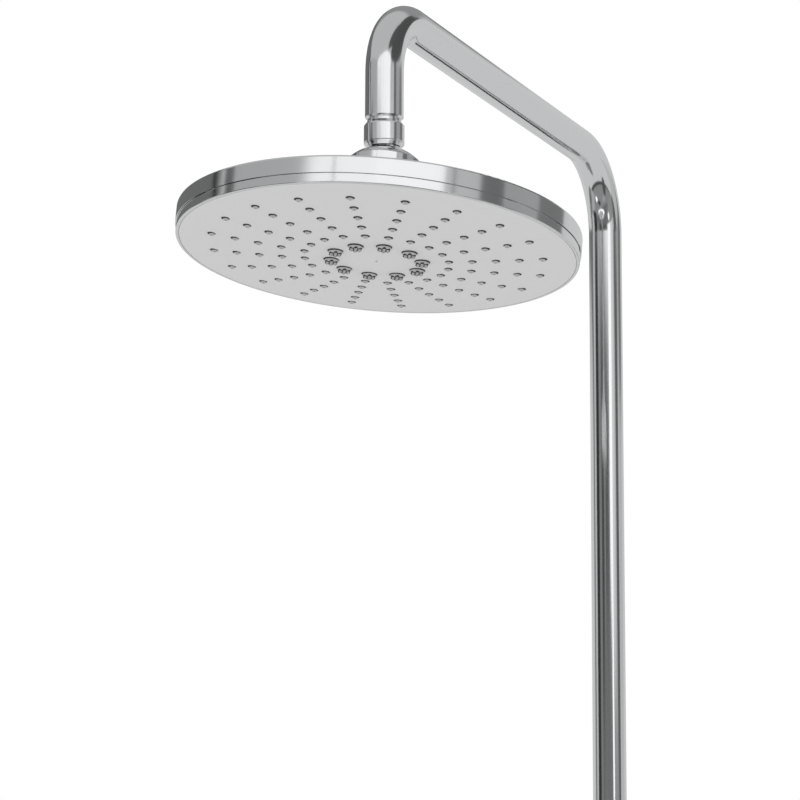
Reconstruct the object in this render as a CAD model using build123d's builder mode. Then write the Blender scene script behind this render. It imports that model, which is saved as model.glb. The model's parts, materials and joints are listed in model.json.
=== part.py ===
from build123d import *
import os
from math import cos, radians, sin, sqrt

# Overhead shower on a bent riser tube, fixed to a wall.
# The origin is the middle of the bracket's wall face: +Z is up and the arm reaches along -Y.

# Riser tube and its two bends
TUBE_OD = 24.0
TUBE_WALL = 1.2
RISER_TO_WALL = 60.0
ARM_ABOVE_BRACKET = 540.0
INLET_BELOW_BRACKET = 340.0
REACH = 400.0
RISER_BEND = 55.0
NECK_BEND = 41.0
NECK_TUBE_DROP = 67.2
SOLDER_GAP = 0.05
SPIGOT_LENGTH = 12.0

# Threaded end of the neck and the collar nut on it
END_RING_HEIGHT = 4.5
END_RING_ROUND = 1.2
NECK_THREAD_OD = 20.9
NECK_THREAD_LENGTH = 10.3
NECK_BORE = 13.0
THREAD_GAP = 0.05
NUT_OD = 25.2
NUT_SET_DOWN = 1.9
NUT_HEIGHT = 16.0
NUT_TOP_CHAMFER = 2.4
NUT_TOP_INSET = 1.8
NUT_FOOT_CHAMFER = 2.0
NUT_FOOT_INSET = 1.7
NUT_FOOT_LIP = 1.5
NUT_FOOT_RECESS = 0.6
BEAD_HEIGHT = 0.7
BEAD_GROOVE = 0.35
REGULATOR_OD = 15.8
REGULATOR_HEIGHT = 6.0
REGULATOR_PORT = 2.2
REGULATOR_PORTS = 4
FILTER_HEIGHT = 1.6
FILTER_WEB = 0.6
FILTER_BORE = 14.0
FILTER_PORT = 3.0
FILTER_PITCH = 3.8

# Ball joint
BALL_OD = 23.0
BALL_BELOW_ARM = 106.2
BALL_FOOT = 9.0
BALL_FOOT_LIP = 1.0
STEM_OD = 12.0
STEM_BORE = 8.0
FLANGE_HEIGHT = 2.4
FLANGE_GAP = 0.15
RUNNING_GAP = 0.05
TILT_FRONT = 6.2
TILT_SIDE = 1.9
TILT_LIMIT = 7.5
LINER_WALL = 1.5
LINER_TOP_ANGLE = 47.0
LINER_FOOT_ANGLE = 88.0
LINER_FACETS = 3
SEAT_ANGLE = 117.0
SEAT_BELOW_BALL = 1.8
SEAT_OD = 28.0
SEAT_HEIGHT = 8.4
SEAT_THROAT = 6.4
SEAT_RING_HEIGHT = 1.5
SEAT_RING_WIDTH = 3.0
SEAT_RING_INSET = 0.5

# Cap, hub and lock nut on the back of the head
CAP_OD = 46.0
CAP_DOME_RADIUS = 32.0
CAP_DOME_BELOW_BALL = 15.2
CAP_SWING_GAP = 0.3
CAP_CONE_ANGLE = 57.0
CAP_SKIRT_BELOW_BALL = 8.0
CAP_CEILING_ABOVE_BALL = 1.0
CAP_SEAM = 0.5
HUB_THREAD_OD = 38.0
HUB_TOP_GAP = 0.3
HUB_BORE = 15.0
HUB_FLANGE_OD = 60.0
HUB_FLANGE_HEIGHT = 3.0
HUB_GASKET_HEIGHT = 0.8
LOCKNUT_OD = 54.0
LOCKNUT_HEIGHT = 4.2
LOCKNUT_NOTCHES = 6
LOCKNUT_NOTCH = 5.0

# Head: a shallow drum with a slightly domed face
FACE_BELOW_BALL = 57.0
FACE_DOME_RADIUS = 1205.0
HEAD_OD = 250.0
RIM_TOP = 22.4
RIM_LINE = 12.0
RIM_SEAM = 0.4
RIM_EDGE_ROUND = 1.2
SHELL_WALL = 1.8
SHELL_SPIGOT = 2.4
SHELL_LEDGE_WIDTH = 4.4
SHELL_LEDGE = 19.0
SHELL_FLAT_OD = 70.0
SHELL_SHOULDER_OD = 170.0
SHELL_SHOULDER = 37.0
SHELL_CROWN_ROUND = 60.0

# Bezel that holds the face
BEZEL_SET_IN = 0.7
BEZEL_FOOT = 6.2
BEZEL_LIP = 0.8
BEZEL_LIP_COVER = 1.0
BEZEL_ROUND = 0.5
BEZEL_SIDE = 0.9
BEZEL_GAP = 0.1
FACE_GAP = 0.35
SNAP_BEAD = 0.4
SNAP_HEIGHT = 9.9

# Face plate, nozzle mat and distributor
PLATE_BACK = 8.4
LAYER_GAP = 0.05
MAT_HEIGHT = 1.5
MAT_EDGE_GAP = 1.7
DISTRIBUTOR_HEIGHT = 2.8
DISTRIBUTOR_GAP = 0.2
DISTRIBUTOR_TOP = 17.6
DISTRIBUTOR_UPSTAND = 3.8
FEED_SLOT_WIDTH = 2.6
FEED_SLOT_SPARE = 3.0

# Spray pattern: straight rows of small nozzles and a ring of larger ones
ROWS = 20
RINGS = 5
FIRST_RING_RADIUS = 44.6
LAST_RING_TO_EDGE = 22.8
PATTERN_TURN = 15.3
NOZZLE_OD = 5.0
NOZZLE_SIDES = 6
NOZZLE_STAND = 1.6
NOZZLE_TAPER = 4.0
JET_BORE = 1.6
JET_SIDES = 4
HOLE_GAP = 0.1
CLUSTERS = 10
CLUSTER_RADIUS = 28.2
CLUSTER_OD = 9.6
CLUSTER_SIDES = 8
CLUSTER_STAND = 1.4
CLUSTER_DOME = 0.9
CLUSTER_TAPER = 38.0
CLUSTER_FLANGE_OD = 12.0
CLUSTER_FLANGE_HEIGHT = 0.9
CLUSTER_BORE = 6.8
CLUSTER_FLOOR = 1.2
CLUSTER_JETS = 6
CLUSTER_JET_RING = 2.5
CLUSTER_JET_OD = 1.5
CLUSTER_JET_STAND = 0.7
CENTRE_PIP_OD = 1.6

# Wall bracket
WALL_PLATE_OD = 46.0
WALL_PLATE_HEIGHT = 5.0
SCREW_SPACING = 30.0
SCREW_HOLE = 5.2
SCREW_HEAD = 9.6
BOSS_OD = 13.0
BOSS_HEIGHT = 12.0
BOSS_GAP = 0.05
ROSETTE_OD = 54.0
ROSETTE_WALL = 1.6
ROSETTE_HEIGHT = 12.0
ROSETTE_CHAMFER = 3.0
ROSETTE_GAP = 0.1
POST_OD = 18.0
POST_FROM_WALL = 5.5
CLAMP_WALL = 4.0
CLAMP_HEIGHT = 24.0
CLAMP_CHAMFER = 1.2
LINER_SLEEVE_WALL = 0.8
LINER_SLEEVE_SPLIT = 2.0
GRUB_OD = 4.0
GRUB_GAP = 0.05
GRUB_SOCKET = 2.0
GRUB_SOCKET_DEPTH = 1.5

# Inlet union at the riser's lower end
INLET_THREAD_OD = 24.12
INLET_THREAD_LENGTH = 10.4
INLET_NUT_FLATS = 30.0
INLET_NUT_HEIGHT = 17.6
INLET_NUT_CHAMFER = 1.2
INLET_RELIEF = 0.6
INLET_BORE = 16.0
INLET_WASHER_HEIGHT = 1.6
INLET_FLANGE_OD = 23.6
INLET_FLANGE_HEIGHT = 2.4
INLET_NECK_OD = 18.8
INLET_NECK_GAP = 0.1
INLET_SHOULDER_HEIGHT = 2.5
INLET_NUT_PLAY = 0.8

# Places that follow from the sizes above
RISER_Y = -RISER_TO_WALL
NECK_Y = RISER_Y - REACH
TUBE_R = TUBE_OD / 2
TUBE_BORE_R = TUBE_R - TUBE_WALL
BALL_R = BALL_OD / 2
RIM_R = HEAD_OD / 2

neck = Plane(origin=(0, NECK_Y, ARM_ABOVE_BRACKET))
inlet = Plane(origin=(0, RISER_Y, -INLET_BELOW_BRACKET))
wall = Plane(origin=(0, 0, 0), x_dir=(1, 0, 0), z_dir=(0, -1, 0))
bracket = Plane(origin=(0, RISER_Y, 0))
ball = neck.offset(-BALL_BELOW_ARM)
tilted_front = ball.rotated((-TILT_FRONT, 0, 0))
tilted = ball.rotated((-TILT_FRONT, TILT_SIDE, 0))
face = tilted.offset(-FACE_BELOW_BALL)
spray = Plane(origin=face.origin, x_dir=face.x_dir, z_dir=-face.z_dir)
last_ring_radius = RIM_R - LAST_RING_TO_EDGE
ring_pitch = (last_ring_radius - FIRST_RING_RADIUS) / (RINGS - 1)
ring_radii = [FIRST_RING_RADIUS + ring_pitch * i for i in range(RINGS)]
row_start = -PATTERN_TURN
inlet_washer_top = INLET_THREAD_LENGTH + INLET_WASHER_HEIGHT
inlet_flange_top = inlet_washer_top + INLET_FLANGE_HEIGHT
inlet_shoulder_foot = INLET_NUT_HEIGHT + INLET_NUT_PLAY
tube_foot_height = inlet_shoulder_foot + INLET_SHOULDER_HEIGHT


def section(frame):
    """Plane through a frame's own axis: x is the radius and y the height along the axis."""
    return Plane(origin=frame.origin, x_dir=frame.x_dir, z_dir=-frame.y_dir)


def turning_axis(frame):
    return Axis(frame.origin, frame.z_dir)


def face_rise(radius):
    """How far the domed face lies above its lowest point at a radius."""
    return FACE_DOME_RADIUS - sqrt(FACE_DOME_RADIUS**2 - radius**2)


def on_ball(radius, angle):
    """Point at an angle from the ball's upward axis, as radius and height from its middle."""
    return (radius * sin(radians(angle)), radius * cos(radians(angle)))


def tangent_r(radius, angle, height):
    """Radius at a height on the cone that touches a ball at an angle from its upward axis."""
    return (radius - height * cos(radians(angle))) / sin(radians(angle))


def tangent_height(radius, angle, out):
    """Height at a radius on the cone that touches a ball at an angle from its upward axis."""
    return (radius - out * sin(radians(angle))) / cos(radians(angle))


# Bent tube: up the wall, out along the arm and down the neck
with BuildPart() as riser_tube:
    with BuildLine() as tube_path:
        FilletPolyline(
            (0, RISER_Y, tube_foot_height - INLET_BELOW_BRACKET),
            (0, RISER_Y, ARM_ABOVE_BRACKET),
            (0, NECK_Y, ARM_ABOVE_BRACKET),
            (0, NECK_Y, ARM_ABOVE_BRACKET - NECK_TUBE_DROP),
            radius=[RISER_BEND, NECK_BEND],
        )
    with BuildSketch(inlet.offset(tube_foot_height)):
        Circle(TUBE_R)
        Circle(TUBE_BORE_R, mode=Mode.SUBTRACT)
    sweep(path=tube_path.line)
riser_tube.part.label = "riser_tube"

# Threaded end of the neck: a spigot in the tube, a ring flush with it and the thread below
ring_foot = -NECK_TUBE_DROP - END_RING_HEIGHT
thread_foot = ring_foot - NECK_THREAD_LENGTH
neck_thread_r = NECK_THREAD_OD / 2
regulator_top = thread_foot + FLANGE_HEIGHT + REGULATOR_HEIGHT
with BuildPart() as neck_fitting:
    with BuildSketch(section(neck)):
        with BuildLine():
            Polyline(
                (NECK_BORE / 2, -NECK_TUBE_DROP + SPIGOT_LENGTH),
                (TUBE_BORE_R - SOLDER_GAP, -NECK_TUBE_DROP + SPIGOT_LENGTH),
                (TUBE_BORE_R - SOLDER_GAP, -NECK_TUBE_DROP),
                (TUBE_R, -NECK_TUBE_DROP),
                (TUBE_R, ring_foot + END_RING_ROUND),
                (TUBE_R - END_RING_ROUND, ring_foot),
                (neck_thread_r, ring_foot),
                (neck_thread_r, thread_foot),
                (REGULATOR_OD / 2 + THREAD_GAP, thread_foot),
                (REGULATOR_OD / 2 + THREAD_GAP, regulator_top),
                (NECK_BORE / 2, regulator_top),
                close=True,
            )
        make_face()
    revolve(axis=turning_axis(neck))
neck_fitting.part.label = "neck_fitting"

# Flow regulator pressed in the end of the neck
with BuildPart() as flow_regulator:
    with BuildSketch(neck.offset(regulator_top - REGULATOR_HEIGHT)):
        Circle(REGULATOR_OD / 2)
        with PolarLocations(REGULATOR_OD / 4, REGULATOR_PORTS):
            Rectangle(REGULATOR_PORT, REGULATOR_PORT, mode=Mode.SUBTRACT)
    extrude(amount=REGULATOR_HEIGHT)
flow_regulator.part.label = "flow_regulator"

# Rubber washer with a strainer web across it
flange_r = neck_thread_r - FLANGE_GAP
filter_foot = thread_foot - FILTER_HEIGHT
with BuildPart() as filter_washer:
    with BuildSketch(neck.offset(filter_foot)):
        Circle(flange_r)
        Circle(FILTER_BORE / 2, mode=Mode.SUBTRACT)
    extrude(amount=FILTER_HEIGHT)
    with BuildSketch(neck.offset(filter_foot)):
        Circle(FILTER_BORE / 2)
        with GridLocations(FILTER_PITCH, FILTER_PITCH, 3, 3):
            Rectangle(FILTER_PORT, FILTER_PORT, mode=Mode.SUBTRACT)
    extrude(amount=FILTER_WEB)
filter_washer.part.label = "filter_washer"

# Collar nut: chamfered at both ends, with a fine groove above the bead at its foot
nut_top = ring_foot - NUT_SET_DOWN
nut_foot = nut_top - NUT_HEIGHT
nut_r = NUT_OD / 2
nut_foot_r = nut_r - NUT_FOOT_INSET
nut_shoulder = filter_foot - FLANGE_HEIGHT
nut_groove = nut_foot + NUT_FOOT_CHAMFER + BEAD_HEIGHT
with BuildPart() as swivel_nut:
    with BuildSketch(section(neck)):
        with BuildLine():
            Polyline(
                (neck_thread_r + THREAD_GAP, nut_top),
                (nut_r - NUT_TOP_INSET, nut_top),
                (nut_r, nut_top - NUT_TOP_CHAMFER),
                (nut_r, nut_groove + BEAD_GROOVE),
                (nut_r - BEAD_GROOVE, nut_groove),
                (nut_r, nut_groove - BEAD_GROOVE),
                (nut_r, nut_foot + NUT_FOOT_CHAMFER),
                (nut_foot_r, nut_foot),
                (nut_foot_r - NUT_FOOT_LIP, nut_foot),
                (nut_foot_r - NUT_FOOT_LIP, nut_foot + NUT_FOOT_RECESS),
                (STEM_OD / 2 + RUNNING_GAP, nut_foot + NUT_FOOT_RECESS),
                (STEM_OD / 2 + RUNNING_GAP, nut_shoulder),
                (neck_thread_r + THREAD_GAP, nut_shoulder),
                close=True,
            )
        make_face()
    revolve(axis=turning_axis(neck))
swivel_nut.part.label = "swivel_nut"

# Ball on a flanged stem, bored through for the water
stem_top = nut_shoulder + FLANGE_HEIGHT + BALL_BELOW_ARM
stem_meets_ball = sqrt(BALL_R**2 - (STEM_OD / 2) ** 2)
ball_foot_r = sqrt(BALL_R**2 - BALL_FOOT**2)
with BuildPart() as ball_stem:
    with BuildSketch(section(ball)):
        with BuildLine():
            Polyline(
                (STEM_BORE / 2, stem_top),
                (flange_r, stem_top),
                (flange_r, stem_top - FLANGE_HEIGHT),
                (STEM_OD / 2, stem_top - FLANGE_HEIGHT),
                (STEM_OD / 2, stem_meets_ball),
            )
            ThreePointArc(
                (STEM_OD / 2, stem_meets_ball), (BALL_R, 0), (ball_foot_r, -BALL_FOOT)
            )
            Polyline(
                (ball_foot_r, -BALL_FOOT),
                (ball_foot_r - BALL_FOOT_LIP, -BALL_FOOT),
                (STEM_BORE / 2, -BALL_FOOT + STEM_BORE / 2),
                (STEM_BORE / 2, stem_top),
            )
        make_face()
    revolve(axis=turning_axis(ball))
ball_stem.part.label = "ball_stem"

# Slippery liner over the upper half of the ball
liner_in_r = BALL_R + RUNNING_GAP
liner_out_r = liner_in_r + LINER_WALL
liner_span = LINER_FOOT_ANGLE - LINER_TOP_ANGLE
liner_turns = [LINER_FOOT_ANGLE - liner_span * i / LINER_FACETS for i in range(LINER_FACETS + 1)]
with BuildPart() as ball_liner:
    with BuildSketch(section(tilted_front)):
        with BuildLine():
            ThreePointArc(
                on_ball(liner_in_r, LINER_TOP_ANGLE),
                on_ball(liner_in_r, LINER_TOP_ANGLE + liner_span / 2),
                on_ball(liner_in_r, LINER_FOOT_ANGLE),
            )
            Polyline(
                on_ball(liner_in_r, LINER_FOOT_ANGLE),
                *[on_ball(liner_out_r, turn) for turn in liner_turns],
                on_ball(liner_in_r, LINER_TOP_ANGLE),
            )
        make_face()
    revolve(axis=turning_axis(tilted_front))
ball_liner.part.label = "ball_liner"

# Conical seat under the ball
seat_foot = -SEAT_BELOW_BALL - SEAT_HEIGHT
with BuildPart() as ball_seat:
    with BuildSketch(section(tilted)):
        with BuildLine():
            Polyline(
                (tangent_r(liner_in_r, SEAT_ANGLE, -SEAT_BELOW_BALL), -SEAT_BELOW_BALL),
                (tangent_r(liner_in_r, SEAT_ANGLE, -BALL_FOOT), -BALL_FOOT),
                (SEAT_THROAT, seat_foot),
                (SEAT_OD / 2, seat_foot),
                (SEAT_OD / 2, -SEAT_BELOW_BALL),
                close=True,
            )
        make_face()
    revolve(axis=turning_axis(tilted))
ball_seat.part.label = "ball_seat"

# Rubber ring that pushes the seat against the ball
with BuildPart() as seat_ring:
    with BuildSketch(tilted.offset(seat_foot - SEAT_RING_HEIGHT)):
        Circle(SEAT_OD / 2 - SEAT_RING_INSET)
        Circle(SEAT_OD / 2 - SEAT_RING_INSET - SEAT_RING_WIDTH, mode=Mode.SUBTRACT)
    extrude(amount=SEAT_RING_HEIGHT)
seat_ring.part.label = "seat_ring"

# Domed cap: its opening clears the stem at the joint's furthest tilt
swing = sqrt(2) * radians(TILT_LIMIT)
pocket_r = liner_out_r + RUNNING_GAP
skirt_foot = -CAP_SKIRT_BELOW_BALL
hub_thread_r = HUB_THREAD_OD / 2
cap_r = CAP_OD / 2


def opening_radius(height):
    return (STEM_OD / 2 + height * sin(swing)) / cos(swing) + CAP_SWING_GAP


def dome_height(radius):
    return sqrt(CAP_DOME_RADIUS**2 - radius**2) - CAP_DOME_BELOW_BALL


opening_top_r = opening_radius(dome_height(opening_radius(CAP_DOME_RADIUS / 2)))
opening_foot = pocket_r * cos(radians(LINER_TOP_ANGLE)) + CAP_SWING_GAP
opening_foot_r = tangent_r(pocket_r, CAP_CONE_ANGLE, opening_foot)
with BuildPart() as hub_cap:
    with BuildSketch(section(tilted)):
        with BuildLine():
            ThreePointArc(
                (opening_top_r, dome_height(opening_top_r)),
                ((opening_top_r + cap_r) / 2, dome_height((opening_top_r + cap_r) / 2)),
                (cap_r, dome_height(cap_r)),
            )
            Polyline(
                (cap_r, dome_height(cap_r)),
                (cap_r, skirt_foot),
                (hub_thread_r + THREAD_GAP, skirt_foot),
                (hub_thread_r + THREAD_GAP, CAP_CEILING_ABOVE_BALL),
                (pocket_r, CAP_CEILING_ABOVE_BALL),
                (pocket_r, tangent_height(pocket_r, CAP_CONE_ANGLE, pocket_r)),
                (opening_foot_r, opening_foot),
                (opening_top_r, dome_height(opening_top_r)),
            )
        make_face()
    revolve(axis=turning_axis(tilted))
hub_cap.part.label = "hub_cap"

# Heights of the clamped stack, from the face's lowest point
skirt_height = FACE_BELOW_BALL + skirt_foot
locknut_foot = skirt_height - CAP_SEAM - LOCKNUT_HEIGHT
shell_under = locknut_foot - SHELL_WALL
gasket_foot = shell_under - HUB_GASKET_HEIGHT
hub_foot = gasket_foot - HUB_FLANGE_HEIGHT
hub_floor = FACE_BELOW_BALL + seat_foot - SEAT_RING_HEIGHT
hub_top = FACE_BELOW_BALL + CAP_CEILING_ABOVE_BALL - HUB_TOP_GAP

# Brass hub: socket for the seat above, flange under the shell
with BuildPart() as hub_body:
    with BuildSketch(section(face)):
        with BuildLine():
            Polyline(
                (HUB_BORE / 2, hub_foot),
                (HUB_FLANGE_OD / 2, hub_foot),
                (HUB_FLANGE_OD / 2, gasket_foot),
                (hub_thread_r, gasket_foot),
                (hub_thread_r, hub_top),
                (SEAT_OD / 2 + RUNNING_GAP, hub_top),
                (SEAT_OD / 2 + RUNNING_GAP, hub_floor),
                (HUB_BORE / 2, hub_floor),
                close=True,
            )
        make_face()
    revolve(axis=turning_axis(face))
hub_body.part.label = "hub_body"

# Flat gasket between the hub's flange and the shell
with BuildPart() as hub_gasket:
    with BuildSketch(face.offset(gasket_foot)):
        Circle(HUB_FLANGE_OD / 2)
        Circle(hub_thread_r + THREAD_GAP, mode=Mode.SUBTRACT)
    extrude(amount=HUB_GASKET_HEIGHT)
hub_gasket.part.label = "hub_gasket"

# Round lock nut with spanner notches
with BuildPart() as hub_locknut:
    with BuildSketch(face.offset(locknut_foot)):
        Circle(LOCKNUT_OD / 2)
        Circle(hub_thread_r + THREAD_GAP, mode=Mode.SUBTRACT)
        with PolarLocations(LOCKNUT_OD / 2, LOCKNUT_NOTCHES):
            Rectangle(LOCKNUT_NOTCH, LOCKNUT_NOTCH, mode=Mode.SUBTRACT)
    extrude(amount=LOCKNUT_HEIGHT)
hub_locknut.part.label = "hub_locknut"

# Back shell: crowned back, upper band of the rim, ledge for the seal, spigot with a snap bead
shell_flat_r = SHELL_FLAT_OD / 2
shoulder_r = SHELL_SHOULDER_OD / 2
bezel_r = RIM_R - BEZEL_SET_IN
bezel_bore_r = bezel_r - BEZEL_SIDE
spigot_r = bezel_bore_r - BEZEL_GAP
spigot_bore_r = spigot_r - SHELL_SPIGOT
ledge_r = spigot_bore_r - SHELL_LEDGE_WIDTH
spigot_foot = PLATE_BACK + BEZEL_GAP
with BuildPart() as head_shell:
    with BuildSketch(section(face)) as shell_outline:
        with BuildLine():
            Polyline(
                (hub_thread_r + THREAD_GAP, locknut_foot),
                (shell_flat_r, locknut_foot),
                (shoulder_r, SHELL_SHOULDER),
                (RIM_R, RIM_TOP),
                (RIM_R, RIM_LINE),
                (spigot_r, RIM_LINE),
                (spigot_r, SNAP_HEIGHT + SNAP_BEAD),
                (spigot_r + SNAP_BEAD, SNAP_HEIGHT),
                (spigot_r, SNAP_HEIGHT - SNAP_BEAD),
                (spigot_r, spigot_foot),
                (spigot_bore_r, spigot_foot),
                (spigot_bore_r, SHELL_LEDGE),
                (ledge_r, SHELL_LEDGE),
                (ledge_r, RIM_TOP),
                (shoulder_r, SHELL_SHOULDER - SHELL_WALL),
                (shell_flat_r, shell_under),
                (hub_thread_r + THREAD_GAP, shell_under),
                close=True,
            )
        make_face()
        crown = shell_outline.vertices().sort_by_distance((shoulder_r, SHELL_SHOULDER))[0]
        fillet(crown, SHELL_CROWN_ROUND)
        rim_edge = shell_outline.vertices().sort_by_distance((RIM_R, RIM_TOP))[0]
        fillet(rim_edge, RIM_EDGE_ROUND)
    revolve(axis=turning_axis(face))
head_shell.part.label = "head_shell"

# Bezel: lower band of the rim, snapped over the spigot, with a lip that carries the face plate
lip_r = bezel_bore_r - BEZEL_LIP_COVER
lip_top = BEZEL_FOOT + BEZEL_LIP
with BuildPart() as rim_bezel:
    with BuildSketch(section(face)) as bezel_outline:
        with BuildLine():
            Polyline(
                (lip_r, BEZEL_FOOT),
                (bezel_r, BEZEL_FOOT),
                (bezel_r, RIM_LINE - RIM_SEAM),
                (bezel_bore_r, RIM_LINE - RIM_SEAM),
                (bezel_bore_r, SNAP_HEIGHT + SNAP_BEAD),
                (bezel_bore_r + SNAP_BEAD, SNAP_HEIGHT),
                (bezel_bore_r, SNAP_HEIGHT - SNAP_BEAD),
                (bezel_bore_r, lip_top),
                (lip_r, lip_top),
                close=True,
            )
        make_face()
        foot_edge = bezel_outline.vertices().sort_by_distance((bezel_r, BEZEL_FOOT))[0]
        fillet(foot_edge, BEZEL_ROUND)
    revolve(axis=turning_axis(face))
rim_bezel.part.label = "rim_bezel"

# Face plate: domed in front and flat behind, holed for every nozzle
plate_edge_r = bezel_bore_r - BEZEL_GAP
plate_rebate_r = lip_r - FACE_GAP
hole_depth = 2 * RIM_TOP
with BuildPart() as face_plate:
    with BuildSketch(section(face)):
        with BuildLine():
            ThreePointArc(
                (0, 0),
                (plate_rebate_r / 2, face_rise(plate_rebate_r / 2)),
                (plate_rebate_r, face_rise(plate_rebate_r)),
            )
            Polyline(
                (plate_rebate_r, face_rise(plate_rebate_r)),
                (plate_rebate_r, lip_top),
                (plate_edge_r, lip_top),
                (plate_edge_r, PLATE_BACK),
                (0, PLATE_BACK),
                (0, 0),
            )
        make_face()
    revolve(axis=turning_axis(face))
    with BuildSketch(spray):
        for ring_radius in ring_radii:
            with PolarLocations(ring_radius, ROWS, start_angle=row_start):
                RegularPolygon(NOZZLE_OD / 2 + HOLE_GAP, NOZZLE_SIDES)
        with PolarLocations(CLUSTER_RADIUS, CLUSTERS, start_angle=row_start):
            RegularPolygon(CLUSTER_OD / 2 + HOLE_GAP, CLUSTER_SIDES)
        RegularPolygon(CENTRE_PIP_OD / 2 + HOLE_GAP, JET_SIDES)
    extrude(amount=hole_depth, both=True, mode=Mode.SUBTRACT)
face_plate.part.label = "face_plate"

# Silicone mat with every small nozzle moulded on it
distributor_r = spigot_bore_r - DISTRIBUTOR_GAP
mat_foot = PLATE_BACK + LAYER_GAP
mat_top = mat_foot + MAT_HEIGHT
with BuildPart() as nozzle_mat:
    with BuildSketch(face.offset(mat_foot)):
        Circle(distributor_r - MAT_EDGE_GAP)
    extrude(amount=MAT_HEIGHT)
    for ring_radius in ring_radii:
        with BuildSketch(spray.offset(-mat_foot)):
            with PolarLocations(ring_radius, ROWS, start_angle=row_start):
                RegularPolygon(NOZZLE_OD / 2, NOZZLE_SIDES)
        extrude(amount=mat_foot - face_rise(ring_radius) + NOZZLE_STAND, taper=NOZZLE_TAPER)
    with BuildSketch(spray.offset(-mat_foot)):
        RegularPolygon(CENTRE_PIP_OD / 2, JET_SIDES)
    extrude(amount=mat_foot)
    with BuildSketch(spray):
        for ring_radius in ring_radii:
            with PolarLocations(ring_radius, ROWS, start_angle=row_start):
                RegularPolygon(JET_BORE / 2, JET_SIDES)
        with PolarLocations(CLUSTER_RADIUS, CLUSTERS, start_angle=row_start):
            RegularPolygon(CLUSTER_OD / 2 + HOLE_GAP, CLUSTER_SIDES)
    extrude(amount=hole_depth, both=True, mode=Mode.SUBTRACT)
nozzle_mat.part.label = "nozzle_mat"

# Larger nozzles, each with a flange on the mat and small jets at its tip
cluster_places = PolarLocations(CLUSTER_RADIUS, CLUSTERS, start_angle=row_start)
cluster_flange_foot = mat_top + LAYER_GAP
cluster_flange_top = cluster_flange_foot + CLUSTER_FLANGE_HEIGHT
cluster_foot = face_rise(CLUSTER_RADIUS) - CLUSTER_STAND
with BuildPart() as cluster_nozzles:
    with BuildSketch(spray.offset(-cluster_flange_top)):
        with cluster_places:
            RegularPolygon(CLUSTER_FLANGE_OD / 2, CLUSTER_SIDES)
    extrude(amount=CLUSTER_FLANGE_HEIGHT)
    with BuildSketch(spray.offset(-cluster_flange_foot)):
        with cluster_places:
            RegularPolygon(CLUSTER_OD / 2, CLUSTER_SIDES)
    extrude(amount=cluster_flange_foot - cluster_foot)
    with BuildSketch(spray.offset(-cluster_foot)):
        with cluster_places:
            RegularPolygon(CLUSTER_OD / 2, CLUSTER_SIDES)
    extrude(amount=CLUSTER_DOME, taper=CLUSTER_TAPER)
    with BuildSketch(spray.offset(CLUSTER_DOME - cluster_foot)):
        with cluster_places:
            RegularPolygon(CLUSTER_JET_OD / 2, JET_SIDES)
            with PolarLocations(CLUSTER_JET_RING, CLUSTER_JETS):
                RegularPolygon(CLUSTER_JET_OD / 2, JET_SIDES)
    extrude(amount=CLUSTER_JET_STAND)
    with BuildSketch(spray.offset(-cluster_flange_top)):
        with cluster_places:
            RegularPolygon(CLUSTER_BORE / 2, CLUSTER_SIDES)
    extrude(amount=cluster_flange_top - cluster_foot - CLUSTER_FLOOR, mode=Mode.SUBTRACT)
cluster_nozzles.part.label = "cluster_nozzles"

# Distributor: a slot over each row and a port over each larger nozzle
distributor_foot = mat_top + LAYER_GAP
slot_length = ring_radii[-1] - ring_radii[0] + FEED_SLOT_SPARE
slot_middle = (ring_radii[-1] + ring_radii[0]) / 2
with BuildPart() as distributor_plate:
    with BuildSketch(face.offset(distributor_foot)):
        Circle(distributor_r)
    extrude(amount=DISTRIBUTOR_HEIGHT)
    with BuildSketch(face.offset(distributor_foot + DISTRIBUTOR_HEIGHT)):
        Circle(distributor_r)
        Circle(distributor_r - DISTRIBUTOR_UPSTAND, mode=Mode.SUBTRACT)
    extrude(amount=DISTRIBUTOR_TOP - distributor_foot - DISTRIBUTOR_HEIGHT)
    with BuildSketch(spray):
        with PolarLocations(slot_middle, ROWS, start_angle=row_start):
            Rectangle(slot_length, FEED_SLOT_WIDTH)
        with cluster_places:
            RegularPolygon(CLUSTER_BORE / 2, CLUSTER_SIDES)
    extrude(amount=hole_depth, both=True, mode=Mode.SUBTRACT)
    with BuildSketch(spray.offset(-cluster_flange_top - HOLE_GAP)):
        with cluster_places:
            RegularPolygon(CLUSTER_FLANGE_OD / 2 + HOLE_GAP, CLUSTER_SIDES)
    extrude(amount=hole_depth, mode=Mode.SUBTRACT)
distributor_plate.part.label = "distributor_plate"

# Seal between the distributor's upstand and the shell's ledge
with BuildPart() as rim_seal:
    with BuildSketch(face.offset(DISTRIBUTOR_TOP)):
        Circle(distributor_r)
        Circle(distributor_r - DISTRIBUTOR_UPSTAND, mode=Mode.SUBTRACT)
    extrude(amount=SHELL_LEDGE - DISTRIBUTOR_TOP)
rim_seal.part.label = "rim_seal"

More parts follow.
